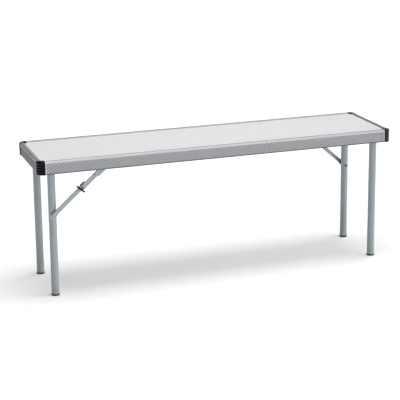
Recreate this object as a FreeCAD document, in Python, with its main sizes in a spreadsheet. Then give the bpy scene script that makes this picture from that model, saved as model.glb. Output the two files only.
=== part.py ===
import FreeCAD, Part
import math
import os
import Sketcher

# Folding bench, millimetres. X runs along the bench, Y across it, Z up.
# The origin is on the floor under the middle of the seat. The left legs are at -X.
# The left stay is at the front (-Y), the right stay at the back: one half turned about Z gives the other.

os.makedirs("parts", exist_ok=True)
doc = FreeCAD.newDocument("FoldingBench")
sheet = doc.addObject("Spreadsheet::Sheet", "Sizes")

# Driving dimensions: name, size, meaning
SIZES = [
    ("benchLength", 1212, "over the corner caps"),
    ("benchWidth", 303, "over the corner caps"),
    ("benchHeight", 450, "floor to the top of the rails"),
    ("capProud", 2.9, "corner cap beyond the rail faces"),
    ("railDepth", 42, "rail from top to bottom"),
    ("railBody", 13.2, "width of the hollow part of a rail"),
    ("lipWidth", 13.6, "width of the lip seen from above"),
    ("lipThick", 3.8, "lip above the seat board's core"),
    ("lipBevel", 1.5, "slope at the inner edge of the lip"),
    ("rebate", 5, "ledge under the edge of the seat board"),
    ("railWall", 1.6, "wall of the extrusion"),
    ("railRound", 5, "upper outer edge of a rail"),
    ("railFoot", 2, "lower outer edge of a rail"),
    ("grooveCount", 13, "grooves on a rail face"),
    ("groovePitch", 2.4, "from groove to groove"),
    ("grooveDepth", 0.9, "depth of a groove"),
    ("grooveWidth", 1.5, "mouth of a groove"),
    ("grooveStart", 4.6, "lowest groove above the rail's bottom"),
    ("boardThick", 9, "seat board with its laminate and sheet"),
    ("laminate", 0.8, "white laminate on the board"),
    ("underSheet", 0.6, "sheet under the board"),
    ("boardGap", 0.2, "seat board to rail, each side"),
    ("collarWidth", 3.5, "smooth collar between rail and cap"),
    ("spigotLength", 45, "connector inside a rail"),
    ("spigotGap", 0.15, "connector to the rail's inside"),
    ("capReach", 25, "corner cap along each side"),
    ("capWall", 5, "corner cap, side wall"),
    ("capLid", 2, "corner cap, bottom"),
    ("capPitch", 8.8, "from rib to rib round a corner cap"),
    ("capFirst", 5, "lowest groove of a cap above its bottom"),
    ("capGroove", 2.7, "depth between two ribs"),
    ("capMouth", 3.6, "width between two ribs"),
    ("capGap", 0.15, "corner cap to what it covers"),
    ("capRound", 5, "upper edge of a corner cap"),
    ("tubeSize", 25, "outside diameter of a leg"),
    ("tubeWall", 1.5, "wall of a leg"),
    ("legInset", 50, "leg axis from the end of the bench"),
    ("legSetback", 41.5, "leg axis from the side of the bench"),
    ("hingeDrop", 29, "hinge axis below the top of the rails"),
    ("legTop", 10, "leg tube above the hinge axis"),
    ("axleSize", 16, "outside diameter of the hinge tube"),
    ("axleWall", 1.5, "wall of the hinge tube"),
    ("axleEnd", 0.5, "hinge tube's end to the rail"),
    ("bushWall", 1.2, "wall of a hinge bush"),
    ("bushGap", 0.05, "bush to hinge tube, on the radius"),
    ("bushFlange", 1.2, "thickness of a bush's flange"),
    ("flangeRim", 2, "bush's flange beyond its sleeve"),
    ("blockLength", 30, "bearing block along the bench"),
    ("blockThick", 9, "bearing block across the bench"),
    ("blockFoot", 47, "bearing block's foot along the bench"),
    ("footThick", 3, "thickness of the block's foot"),
    ("blockBottom", 12.5, "hinge axis to the block's bottom"),
    ("blockRound", 9, "lower corners of the block"),
    ("shoeSize", 27, "outside diameter of a rubber foot"),
    ("shoeHeight", 6, "rubber foot below the tube"),
    ("shoePlug", 22, "rubber foot inside the tube"),
    ("shoeGap", 0.1, "rubber foot to the tube's inside"),
    ("shoeRound", 2.5, "lower edge of a rubber foot"),
    ("stayDrop", 153, "hinge axis down to the stay bolt"),
    ("stayReach", 173, "hinge axis to the bracket pin, along the bench"),
    ("spacerThick", 2.6, "leg tube to the spacer's outer face"),
    ("spacerSize", 11, "outside diameter of the spacer"),
    ("spacerGap", 0.1, "spacer to lower arm"),
    ("lowerThick", 4.8, "depth of the lower arm's channel"),
    ("lowerWidth", 13, "width of the lower arm"),
    ("lowerShift", 1.5, "lower arm's middle above its pivot line"),
    ("lowerWall", 1.5, "sheet of the lower arm"),
    ("lowerTail", 9, "lower arm beyond the stay bolt"),
    ("solidEnd", 12, "lower arm's solid ends, from pivot to channel"),
    ("headLength", 18, "lower arm beyond the knuckle"),
    ("headLift", 11, "upper edge of the lower arm's head"),
    ("headDrop", 6, "lower edge of the lower arm's head"),
    ("headStart", 1, "head's shoulder before the knuckle"),
    ("headSlope", 3, "length of the head's shoulder"),
    ("lapGap", 0.3, "between the two arms"),
    ("upperThick", 3, "upper arm"),
    ("upperWidth", 15.2, "width of the upper arm"),
    ("upperTail", 4.5, "middle of the upper arm's round tail beyond the knuckle"),
    ("lapLength", 12, "half lap between upper arm and hanger"),
    ("hangerLength", 45, "hanger from the bracket pin to its square end"),
    ("hangerTail", 5, "hanger beyond the bracket pin"),
    ("hangerChamfer", 5, "corners of the hanger's tail"),
    ("hangerWidth", 17, "width of the hanger"),
    ("hangerShift", 3, "hanger's middle below the pivot line"),
    ("boltSize", 6, "stay bolt's shank"),
    ("boltHead", 9, "stay bolt's head"),
    ("boltHeadThick", 3.5, "stay bolt's head"),
    ("pinSize", 5, "pin and rivet shanks"),
    ("pinGap", 0.1, "turning clearance on the radius"),
    ("bracketPin", 4, "bracket pin's shank"),
    ("pinHead", 6.4, "bracket pin's sunk head"),
    ("pinHeadThick", 1, "bracket pin's sunk head"),
    ("rivetHead", 8, "knuckle rivet's heads"),
    ("rivetHeadThick", 1.4, "knuckle rivet's heads"),
    ("ringSet", 6.8, "lock ring's middle before the knuckle"),
    ("ringThick", 4.2, "lock ring"),
    ("ringAbove", 16.5, "lock ring above the pivot line"),
    ("ringBelow", 14.5, "lock ring below the pivot line"),
    ("ringWall", 1.4, "lock ring, beside the arms"),
    ("ringGap", 0.3, "lock ring to the arms"),
    ("ringFree", 1, "lock ring to the upper arm's lower edge"),
    ("ringRound", 3, "corners of the lock ring"),
    ("earGap", 0.2, "hanger to the bracket's ear"),
    ("earLeft", 5, "ear before the bracket pin"),
    ("earRight", 15, "ear beyond the bracket pin"),
    ("earBottom", 5, "ear below the bracket pin"),
    ("bracketLength", 46, "stay bracket's foot along the bench"),
    ("bracketDepth", 31, "stay bracket's foot across the bench"),
    ("bracketThick", 2, "stay bracket's foot"),
]

for row, (name, size, meaning) in enumerate(SIZES, start=1):
    sheet.set("A%d" % row, name)
    sheet.set("B%d" % row, str(size))
    sheet.set("C%d" % row, meaning)
    sheet.setAlias("B%d" % row, name)
doc.recompute()


class Size:
    """A number together with the sheet expression that gives it."""

    def __init__(self, value, text):
        self.value = value
        self.text = text

    def __add__(self, other):
        other = as_size(other)
        return Size(self.value + other.value, "(%s + %s)" % (self.text, other.text))

    def __sub__(self, other):
        other = as_size(other)
        return Size(self.value - other.value, "(%s - %s)" % (self.text, other.text))

    def __mul__(self, other):
        other = as_size(other)
        return Size(self.value * other.value, "(%s * %s)" % (self.text, other.text))

    def __truediv__(self, other):
        other = as_size(other)
        return Size(self.value / other.value, "(%s / %s)" % (self.text, other.text))

    def __neg__(self):
        return Size(-self.value, "(0 - %s)" % self.text)


def as_size(number):
    return number if isinstance(number, Size) else Size(float(number), repr(float(number)))


def root(number):
    return Size(math.sqrt(number.value), "sqrt(%s)" % number.text)


def cell(name):
    return Size(float(sheet.get(name)), "Sizes." + name)


zero = as_size(0)

# Planes and axes that several pieces share
half_length = cell("benchLength") / 2
half_width = cell("benchWidth") / 2
rail_x = half_length - cell("capProud")
rail_y = half_width - cell("capProud")
rail_bottom = cell("benchHeight") - cell("railDepth")
board_top = cell("benchHeight") - cell("lipThick") + cell("laminate")
board_under = board_top - cell("boardThick")
ledge_height = board_under - rail_bottom
corner_x = half_length - cell("capReach")
corner_y = half_width - cell("capReach")
inner_y = rail_y - cell("railBody")
leg_x = half_length - cell("legInset")
leg_y = half_width - cell("legSetback")
hinge_z = cell("benchHeight") - cell("hingeDrop")
tube_radius = cell("tubeSize") / 2

# Layers of a stay, counted outward from the middle of the bench
spacer_face = leg_y + tube_radius + cell("spacerThick")
lower_inner = spacer_face + cell("spacerGap")
upper_inner = lower_inner + cell("lowerThick") + cell("lapGap")
upper_outer = upper_inner + cell("upperThick")

# The stay's triangle: both arms lie on one line when the leg stands, and again when it is folded
stay_span = root(cell("stayReach") * cell("stayReach") + cell("stayDrop") * cell("stayDrop"))
fold_span = cell("stayReach") - cell("stayDrop")
lower_length = (stay_span + fold_span) / 2
upper_length = (stay_span - fold_span) / 2
stay_angle = math.degrees(math.atan2(cell("stayDrop").value, cell("stayReach").value))
knuckle_x = lower_length * cell("stayReach") / stay_span - leg_x
knuckle_z = hinge_z - cell("stayDrop") + lower_length * cell("stayDrop") / stay_span
ring_x = knuckle_x - cell("ringSet") * cell("stayReach") / stay_span
ring_z = knuckle_z - cell("ringSet") * cell("stayDrop") / stay_span
bracket_x = cell("stayReach") - leg_x

Z_AXIS = FreeCAD.Vector(0, 0, 1)
Y_AXIS = FreeCAD.Vector(0, 1, 0)
made = []


def new_body(label):
    body = doc.addObject("PartDesign::Body", label)
    body.Label = label
    made.append(body)
    return body


def new_sketch(body, name, role, lift=None):
    """A sketch on one of the body's own planes, moved along that plane's normal by lift."""
    sketch = body.newObject("Sketcher::SketchObject", name)
    plane = [item for item in body.Origin.OriginFeatures if item.Role == role][0]
    sketch.AttachmentSupport = [(plane, "")]
    sketch.MapMode = "FlatFace"
    if lift is not None:
        sketch.AttachmentOffset = FreeCAD.Placement(FreeCAD.Vector(0, 0, lift.value), FreeCAD.Rotation())
        sketch.setExpression("AttachmentOffset.Base.z", lift.text)
    return sketch


def pin_point(sketch, geo, pos, x, y):
    """Fixes one point of a sketch at two sizes."""
    for kind, axis, size in (("DistanceX", -2, x), ("DistanceY", -1, y)):
        if size is zero:
            sketch.addConstraint(Sketcher.Constraint("PointOnObject", geo, pos, axis))
        else:
            sketch.addConstraint(Sketcher.Constraint(kind, -1, 1, geo, pos, size.value))
            sketch.setExpression("Constraints[%d]" % (sketch.ConstraintCount - 1), size.text)


def add_polygon(sketch, points):
    """Draws a closed outline through points that are pairs of sizes."""
    first = sketch.GeometryCount
    count = len(points)
    for i in range(count):
        x0, y0 = points[i]
        x1, y1 = points[(i + 1) % count]
        start = FreeCAD.Vector(x0.value, y0.value, 0)
        end = FreeCAD.Vector(x1.value, y1.value, 0)
        sketch.addGeometry(Part.LineSegment(start, end), False)
    for i in range(count):
        after = first + (i + 1) % count
        sketch.addConstraint(Sketcher.Constraint("Coincident", first + i, 2, after, 1))
    for i in range(count):
        pin_point(sketch, first + i, 1, points[i][0], points[i][1])


def add_rectangle(sketch, x0, x1, y0, y1):
    add_polygon(sketch, [(x0, y0), (x1, y0), (x1, y1), (x0, y1)])


def add_circle(sketch, x, y, radius):
    place = FreeCAD.Vector(x.value, y.value, 0)
    geo = sketch.addGeometry(Part.Circle(place, Z_AXIS, radius.value), False)
    sketch.addConstraint(Sketcher.Constraint("Radius", geo, radius.value))
    sketch.setExpression("Constraints[%d]" % (sketch.ConstraintCount - 1), radius.text)
    if x is zero and y is zero:
        sketch.addConstraint(Sketcher.Constraint("Coincident", geo, 3, -1, 1))
    else:
        pin_point(sketch, geo, 3, x, y)


def add_bar(sketch, x0, x1, y, radius):
    """Draws a bar with a half-round end at x0, a square end at x1 and its middle line at y."""
    first = sketch.GeometryCount
    low = y.value - radius.value
    high = y.value + radius.value
    middle = FreeCAD.Vector(x0.value, y.value, 0)
    arc = Part.ArcOfCircle(Part.Circle(middle, Z_AXIS, radius.value), math.pi / 2, 3 * math.pi / 2)
    sketch.addGeometry(arc, False)
    corners = [(x0.value, low), (x1.value, low), (x1.value, high), (x0.value, high)]
    for start, end in zip(corners, corners[1:]):
        line = Part.LineSegment(FreeCAD.Vector(start[0], start[1], 0), FreeCAD.Vector(end[0], end[1], 0))
        sketch.addGeometry(line, False)
    sketch.addConstraint(Sketcher.Constraint("Tangent", first, 2, first + 1, 1))
    sketch.addConstraint(Sketcher.Constraint("Coincident", first + 1, 2, first + 2, 1))
    sketch.addConstraint(Sketcher.Constraint("Coincident", first + 2, 2, first + 3, 1))
    sketch.addConstraint(Sketcher.Constraint("Tangent", first + 3, 2, first, 1))
    sketch.addConstraint(Sketcher.Constraint("Horizontal", first + 1))
    sketch.addConstraint(Sketcher.Constraint("Vertical", first + 2))
    sketch.addConstraint(Sketcher.Constraint("Radius", first, radius.value))
    sketch.setExpression("Constraints[%d]" % (sketch.ConstraintCount - 1), radius.text)
    pin_point(sketch, first, 3, x0, y)
    sketch.addConstraint(Sketcher.Constraint("DistanceX", -1, 1, first + 1, 2, x1.value))
    sketch.setExpression("Constraints[%d]" % (sketch.ConstraintCount - 1), x1.text)


def pad(body, sketch, name, length, reverse=False, middle=False):
    feature = body.newObject("PartDesign::Pad", name)
    feature.Profile = sketch
    feature.Length = length.value
    feature.setExpression("Length", length.text)
    feature.Reversed = reverse
    feature.Midplane = middle
    return feature


def cut(body, sketch, name, depth=None, reverse=False, middle=False):
    """Pockets a sketch and checks that it took something away."""
    doc.recompute()
    before = body.Shape.Volume
    feature = body.newObject("PartDesign::Pocket", name)
    feature.Profile = sketch
    if depth is None:
        feature.Type = "ThroughAll"
    else:
        feature.Length = depth.value
        feature.setExpression("Length", depth.text)
    feature.Reversed = reverse
    feature.Midplane = middle
    doc.recompute()
    if not body.Shape.Volume < before - 0.01:
        raise RuntimeError("%s of %s takes nothing away" % (name, body.Label))
    return feature


def turn_solid(body, sketch, name, axis="V_Axis", angle=360):
    feature = body.newObject("PartDesign::Revolution", name)
    feature.Profile = sketch
    feature.ReferenceAxis = (sketch, [axis])
    feature.Angle = angle
    return feature


def round_edges(body, name, radius, wanted):
    """Rounds the edges of the body's last solid whose middle point passes the test."""
    doc.recompute()
    tip = body.Tip
    names = []
    for number, edge in enumerate(tip.Shape.Edges, start=1):
        middle = edge.valueAt((edge.FirstParameter + edge.LastParameter) / 2)
        if wanted(middle, edge):
            names.append("Edge%d" % number)
    feature = body.newObject("PartDesign::Fillet", name)
    feature.Base = (tip, names)
    feature.Radius = radius.value
    feature.setExpression("Radius", radius.text)
    return feature


def place(body, x, y, z, turns=()):
    """Puts a body at three sizes; turns are pairs of axis and angle, the first one made first."""
    rotation = FreeCAD.Rotation()
    for axis, angle in turns:
        rotation = FreeCAD.Rotation(axis, angle) * rotation
    body.Placement = FreeCAD.Placement(FreeCAD.Vector(x.value, y.value, z.value), rotation)
    body.setExpression("Placement.Base.x", x.text)
    body.setExpression("Placement.Base.y", y.text)
    body.setExpression("Placement.Base.z", z.text)


def place_half(body, side, x, y, z, turns=()):
    """Puts a body of the left half, or the same body turned half round for the right half."""
    if side == "left":
        place(body, x, y, z, turns)
    else:
        place(body, -x, -y, z, tuple(turns) + ((Z_AXIS, 180),))


# Rails

def rail_outline():
    """The rail's section: across from its outer face, and up from its bottom."""
    depth = cell("railDepth")
    body_width = cell("railBody")
    web = body_width - cell("rebate")
    lip = depth - cell("lipThick")
    bevel = cell("lipWidth") - cell("lipBevel")
    return [(zero, zero), (body_width, zero), (body_width, ledge_height), (web, ledge_height),
            (web, lip), (cell("lipWidth"), lip), (bevel, depth), (zero, depth)]


def rail_hollow(gap=zero):
    """The section of a rail's inside, smaller by a gap all round."""
    wall = cell("railWall") + gap
    right = cell("railBody") - wall
    web = cell("railBody") - cell("rebate") - wall
    shoulder = ledge_height - wall
    top = cell("railDepth") - wall
    chamfer = cell("railRound") - wall
    return [(wall, wall), (right, wall), (right, shoulder), (web, shoulder), (web, top),
            (wall + chamfer, top), (wall, top - chamfer)]


def round_rail(body, along):
    """Rounds the rail section's two outer edges; along is the axis that the section was pushed on."""
    depth = cell("railDepth").value

    def upper(middle, edge):
        across = middle.y if along == "x" else middle.x
        return abs(across) < 1e-6 and abs(middle.z - depth) < 1e-6

    def lower(middle, edge):
        across = middle.y if along == "x" else middle.x
        return abs(across) < 1e-6 and abs(middle.z) < 1e-6

    round_edges(body, "UpperRound" + along, cell("railRound"), upper)
    round_edges(body, "LowerRound" + along, cell("railFoot"), lower)


def make_rail(label, length):
    """A grooved hollow rail along local X, its outer face at local Y 0."""
    body = new_body(label)
    section = new_sketch(body, "Section", "YZ_Plane")
    add_polygon(section, rail_outline())
    pad(body, section, "Bar", length, middle=True)
    round_rail(body, "x")
    hollow = new_sketch(body, "Hollow", "YZ_Plane")
    add_polygon(hollow, rail_hollow())
    cut(body, hollow, "Bore", length + 2, middle=True)
    groove = new_sketch(body, "Groove", "YZ_Plane")
    start = cell("grooveStart")
    half = cell("grooveWidth") / 2
    add_polygon(groove, [(zero, start - half), (cell("grooveDepth"), start), (zero, start + half)])
    first = cut(body, groove, "FirstGroove", length + 2, middle=True)
    rows = body.newObject("PartDesign::LinearPattern", "Grooves")
    rows.Originals = [first]
    rows.Direction = (groove, ["V_Axis"])
    span = cell("groovePitch") * (cell("grooveCount") - 1)
    rows.Length = span.value
    rows.setExpression("Length", span.text)
    rows.Occurrences = int(cell("grooveCount").value)
    rows.setExpression("Occurrences", cell("grooveCount").text)
    body.Tip = rows
    return body


long_run = (corner_x - cell("collarWidth")) * 2
short_run = (corner_y - cell("collarWidth")) * 2
place(make_rail("front_rail", long_run), zero, -rail_y, rail_bottom)
place(make_rail("back_rail", long_run), zero, rail_y, rail_bottom, [(Z_AXIS, 180)])
place(make_rail("left_end_rail", short_run), -rail_x, zero, rail_bottom, [(Z_AXIS, -90)])
place(make_rail("right_end_rail", short_run), rail_x, zero, rail_bottom, [(Z_AXIS, 90)])


# Seat board in three layers, each lying between the webs of the rails
def make_layer(label, thick, bottom):
    body = new_body(label)
    outline = new_sketch(body, "Outline", "XY_Plane")
    web = cell("railBody") - cell("rebate") + cell("boardGap")
    along = rail_x - web
    across = rail_y - web
    add_rectangle(outline, -along, along, -across, across)
    pad(body, outline, "Sheet", thick)
    place(body, zero, zero, bottom)


def make_laminate(label):
    """Between the lips, and notched at the corners for the caps."""
    body = new_body(label)
    outline = new_sketch(body, "Outline", "XY_Plane")
    along = rail_x - cell("lipWidth") - cell("boardGap")
    across = rail_y - cell("lipWidth") - cell("boardGap")
    short_along = corner_x - cell("boardGap")
    short_across = corner_y - cell("boardGap")
    quarter = [(along, short_across), (short_along, short_across), (short_along, across)]
    points = quarter + [(-x, y) for x, y in reversed(quarter)]
    add_polygon(outline, points + [(-x, -y) for x, y in points])
    pad(body, outline, "Sheet", cell("laminate"))
    place(body, zero, zero, board_top - cell("laminate"))


core_thick = cell("boardThick") - cell("laminate") - cell("underSheet")
make_layer("underside_sheet", cell("underSheet"), board_under)
make_layer("seat_board", core_thick, board_under + cell("underSheet"))
make_laminate("top_laminate")


# Corners, each about the upright line through the middle of its round cap
CORNERS = [
    ("front_left", -1, -1, 180),
    ("front_right", 1, -1, 270),
    ("back_right", 1, 1, 0),
    ("back_left", -1, 1, 90),
]


def make_connector(label):
    """Two collars with spigots for the rails, and a quarter-round core for the cap."""
    body = new_body(label)
    face = cell("capReach") - cell("capProud")
    depth = cell("railDepth")
    low = cell("capLid") + cell("capGap")
    high = depth - cell("lipThick") - cell("capGap")
    core_radius = cell("capReach") - cell("capWall") - cell("capGap")
    core = new_sketch(body, "Core", "XZ_Plane")
    add_rectangle(core, zero, core_radius, low, high)
    turn_solid(body, core, "CoreTurned", angle=90)
    hollow_gap = cell("spigotGap")
    spigot = cell("collarWidth") + cell("spigotLength")
    for plane, back in (("YZ_Plane", True), ("XZ_Plane", False)):
        collar = new_sketch(body, "Collar" + plane[0], plane)
        add_polygon(collar, [(face - across, up) for across, up in rail_outline()])
        pad(body, collar, "CollarPad" + plane[0], cell("collarWidth"), reverse=back)
        inside = new_sketch(body, "Spigot" + plane[0], plane)
        add_polygon(inside, [(face - across, up) for across, up in rail_hollow(hollow_gap)])
        pad(body, inside, "SpigotPad" + plane[0], spigot, reverse=back)
    notch = new_sketch(body, "BoardNotch", "XY_Plane", ledge_height)
    side = face - cell("railBody") + cell("rebate")
    add_rectangle(notch, zero, side, zero, side)
    cut(body, notch, "BoardRoom", depth - ledge_height, reverse=True)
    outer = face.value

    def on_edge(height):
        def wanted(middle, edge):
            outside = max(middle.x, middle.y)
            return abs(outside - outer) < 1e-6 and abs(middle.z - height) < 1e-6
        return wanted

    round_edges(body, "UpperRound", cell("railRound"), on_edge(depth.value))
    round_edges(body, "LowerRound", cell("railFoot"), on_edge(0))
    return body


def add_round(outline, radius, middle_x, middle_y, steps, upper):
    """Adds the points of a rounded outer edge: side to top, or bottom to side."""
    for step in range(steps + 1):
        turned = math.radians(90.0 * step / steps)
        if upper:
            side, rise = math.cos(turned), math.sin(turned)
        else:
            side, rise = math.sin(turned), -math.cos(turned)
        outline.append((middle_x + radius * side, middle_y + radius * rise))


def make_cap(label):
    """A quarter-round cap with ribs, hollow towards the rails; its lid lies on the corner of the board."""
    body = new_body(label)
    radius = cell("capReach")
    depth = cell("railDepth")
    floor = radius - cell("capGroove")
    half = cell("capMouth") / 2
    outline = [(zero, zero), (radius, zero)]
    for number in range(4):
        level = cell("capFirst") + cell("capPitch") * number
        outline.append((radius, level - half))
        outline.append((floor, level - half / 3))
        outline.append((floor, level + half / 3))
        outline.append((radius, level + half))
    add_round(outline, cell("capRound"), radius - cell("capRound"), depth - cell("capRound"), 3, True)
    outline.append((zero, depth))
    shell = new_sketch(body, "Shell", "XZ_Plane")
    add_polygon(shell, outline)
    turn_solid(body, shell, "ShellTurned", angle=90)
    room = new_sketch(body, "Room", "XZ_Plane")
    add_rectangle(room, zero, radius - cell("capWall"), cell("capLid"), depth - cell("lipThick"))
    doc.recompute()
    before = body.Shape.Volume
    hollow = body.newObject("PartDesign::Groove", "RoomTurned")
    hollow.Profile = room
    hollow.ReferenceAxis = (room, ["V_Axis"])
    hollow.Angle = 90
    doc.recompute()
    if not body.Shape.Volume < before / 2:
        raise RuntimeError("the room in %s is missing" % label)
    return body


for corner, side_x, side_y, angle in CORNERS:
    for make_piece, kind in ((make_connector, "_corner_connector"), (make_cap, "_corner_cap")):
        piece = make_piece(corner + kind)
        place(piece, corner_x * side_x, corner_y * side_y, rail_bottom, [(Z_AXIS, angle)])


# Hinge bearings under the seat board, one against each long rail at every leg
bush_outer = cell("axleSize") / 2 + cell("bushGap") + cell("bushWall")
block_top = board_under - hinge_z


def make_block(label):
    """A bearing block; its pad grows from the rail towards the middle of the bench."""
    body = new_body(label)
    half = cell("blockLength") / 2
    wing = cell("blockFoot") / 2
    bottom = -cell("blockBottom")
    shoulder = block_top - cell("footThick")
    outline = new_sketch(body, "Outline", "XZ_Plane")
    add_polygon(outline, [(-half, bottom), (half, bottom), (half, shoulder), (wing, shoulder),
                          (wing, block_top), (-wing, block_top), (-wing, shoulder), (-half, shoulder)])
    pad(body, outline, "Block", cell("blockThick"), reverse=True)
    low = bottom.value

    def wanted(middle, edge):
        return abs(middle.z - low) < 1e-6 and abs(abs(middle.x) - half.value) < 1e-6

    round_edges(body, "LowerRound", cell("blockRound"), wanted)
    seat = new_sketch(body, "BushSeat", "XZ_Plane")
    add_circle(seat, zero, zero, bush_outer)
    cut(body, seat, "BushHole", cell("blockThick") * 3, middle=True)
    return body


def make_bush(label):
    """A flanged sleeve for the hinge tube."""
    body = new_body(label)
    bore = cell("axleSize") / 2 + cell("bushGap")
    sleeve = cell("blockThick")
    rim = bush_outer + cell("flangeRim")
    end = sleeve + cell("bushFlange")
    profile = new_sketch(body, "Profile", "XY_Plane")
    add_polygon(profile, [(bore, zero), (bush_outer, zero), (bush_outer, sleeve), (rim, sleeve),
                          (rim, end), (bore, end)])
    turn_solid(body, profile, "Sleeve")
    return body


# Leg frames: two legs, the hinge tube through both, rubber feet and the stay's bolt
def make_leg(label, bolted):
    body = new_body(label)
    ring = new_sketch(body, "Ring", "XY_Plane")
    add_circle(ring, zero, zero, tube_radius)
    add_circle(ring, zero, zero, tube_radius - cell("tubeWall"))
    pad(body, ring, "Tube", hinge_z + cell("legTop") - cell("shoeHeight"))
    across = new_sketch(body, "HingeHole", "XZ_Plane")
    add_circle(across, zero, hinge_z - cell("shoeHeight"), cell("axleSize") / 2)
    cut(body, across, "HingeCut", cell("tubeSize") * 2, middle=True)
    if bolted:
        through = new_sketch(body, "BoltHole", "XZ_Plane")
        add_circle(through, zero, hinge_z - cell("stayDrop") - cell("shoeHeight"), cell("boltSize") / 2)
        cut(body, through, "BoltCut", cell("tubeSize") * 2, middle=True)
    return body


def make_hinge_tube(label):
    body = new_body(label)
    ring = new_sketch(body, "Ring", "XZ_Plane")
    add_circle(ring, zero, zero, cell("axleSize") / 2)
    add_circle(ring, zero, zero, cell("axleSize") / 2 - cell("axleWall"))
    pad(body, ring, "Tube", (inner_y - cell("axleEnd")) * 2, middle=True)
    return body


def make_shoe(label):
    """A rubber foot with a plug inside the leg."""
    body = new_body(label)
    rim = cell("shoeSize") / 2
    plug = tube_radius - cell("tubeWall") - cell("shoeGap")
    low = cell("shoeHeight")
    top = low + cell("shoePlug")
    edge = cell("shoeRound")
    outline = [(zero, zero)]
    add_round(outline, edge, rim - edge, edge, 2, False)
    outline += [(rim, low), (plug, low), (plug, top), (zero, top)]
    profile = new_sketch(body, "Profile", "XZ_Plane")
    add_polygon(profile, outline)
    turn_solid(body, profile, "Turned")
    return body


def make_bolt(label):
    """The stay bolt, from its head on the leg's inner side out to the spacer's face."""
    body = new_body(label)
    head = cell("boltHead") / 2
    shank = cell("boltSize") / 2
    seat = tube_radius
    profile = new_sketch(body, "Profile", "XY_Plane")
    out = -(tube_radius + cell("spacerThick"))
    tip = seat + cell("boltHeadThick")
    add_polygon(profile, [(zero, tip), (head, tip), (head, seat), (shank, seat),
                          (shank, out), (zero, out)])
    turn_solid(body, profile, "Turned")
    return body


def make_spacer(label):
    """A round spacer whose inner side lies round the leg tube."""
    body = new_body(label)
    start = tube_radius / 2
    disc = new_sketch(body, "Disc", "XZ_Plane", start)
    add_circle(disc, zero, zero, cell("spacerSize") / 2)
    add_circle(disc, zero, zero, cell("boltSize") / 2)
    pad(body, disc, "Spacer", tube_radius + cell("spacerThick") - start)
    saddle = new_sketch(body, "Saddle", "XY_Plane")
    add_circle(saddle, zero, zero, tube_radius)
    cut(body, saddle, "SaddleCut", cell("spacerSize") * 2, middle=True)
    return body


# Stay: lower arm, upper arm with its hanger, knuckle rivet, lock ring
def make_lower_arm(label):
    """Along local X from the stay bolt to the head, the knuckle at the origin, outward is -Y."""
    body = new_body(label)
    radius = cell("lowerWidth") / 2
    shift = cell("lowerShift")
    foot = -(lower_length + cell("lowerTail") - radius)
    bar = new_sketch(body, "Bar", "XZ_Plane")
    add_bar(bar, foot, cell("headLength"), shift, radius)
    pad(body, bar, "BarPad", cell("lowerThick"))
    head = new_sketch(body, "Head", "XZ_Plane")
    start = -cell("headStart")
    slope = start - cell("headSlope")
    low = -cell("headDrop")
    bar_top = shift + radius
    bar_low = shift - radius
    add_polygon(head, [(slope * 2, bar_low), (slope, low), (cell("headLength"), low),
                       (cell("headLength"), cell("headLift")), (start, cell("headLift")), (slope, bar_top)])
    pad(body, head, "HeadPad", cell("lowerThick"))
    channel = new_sketch(body, "Channel", "XZ_Plane")
    wall = cell("lowerWall")
    add_rectangle(channel, cell("solidEnd") - lower_length, -cell("solidEnd"),
                  bar_low + wall, bar_top - wall)
    cut(body, channel, "ChannelCut", cell("lowerThick") - wall, reverse=True)
    holes = new_sketch(body, "KnuckleHole", "XZ_Plane")
    add_circle(holes, zero, zero, cell("pinSize") / 2 + cell("pinGap"))
    cut(body, holes, "KnuckleCut", cell("lowerThick") * 3, middle=True)
    eye = new_sketch(body, "Eye", "XZ_Plane")
    add_circle(eye, -lower_length, zero, cell("pinSize") / 2)
    cut(body, eye, "EyeCut", cell("lowerThick") * 3, middle=True)
    return body


def make_foot_rivet(label):
    """Fills the lower arm's eye over the stay bolt."""
    body = new_body(label)
    disc = new_sketch(body, "Disc", "XZ_Plane")
    add_circle(disc, -lower_length, zero, cell("pinSize") / 2)
    pad(body, disc, "Rivet", cell("lowerThick"))
    return body


def make_upper_arm(label):
    """A flat bar from its round tail past the knuckle up to the half lap."""
    body = new_body(label)
    square = upper_length - cell("hangerLength")
    bar = new_sketch(body, "Bar", "XZ_Plane")
    add_bar(bar, -cell("upperTail"), square + cell("lapLength"), zero, cell("upperWidth") / 2)
    pad(body, bar, "BarPad", cell("upperThick"))
    lap = new_sketch(body, "Lap", "XZ_Plane", cell("upperThick"))
    wide = cell("upperWidth")
    add_rectangle(lap, square, square + cell("lapLength") * 2, -wide, wide)
    cut(body, lap, "LapCut", cell("upperThick") / 2)
    hole = new_sketch(body, "RivetHole", "XZ_Plane")
    add_circle(hole, zero, zero, cell("pinSize") / 2)
    cut(body, hole, "RivetCut", cell("upperThick") * 3, middle=True)
    return body


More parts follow.
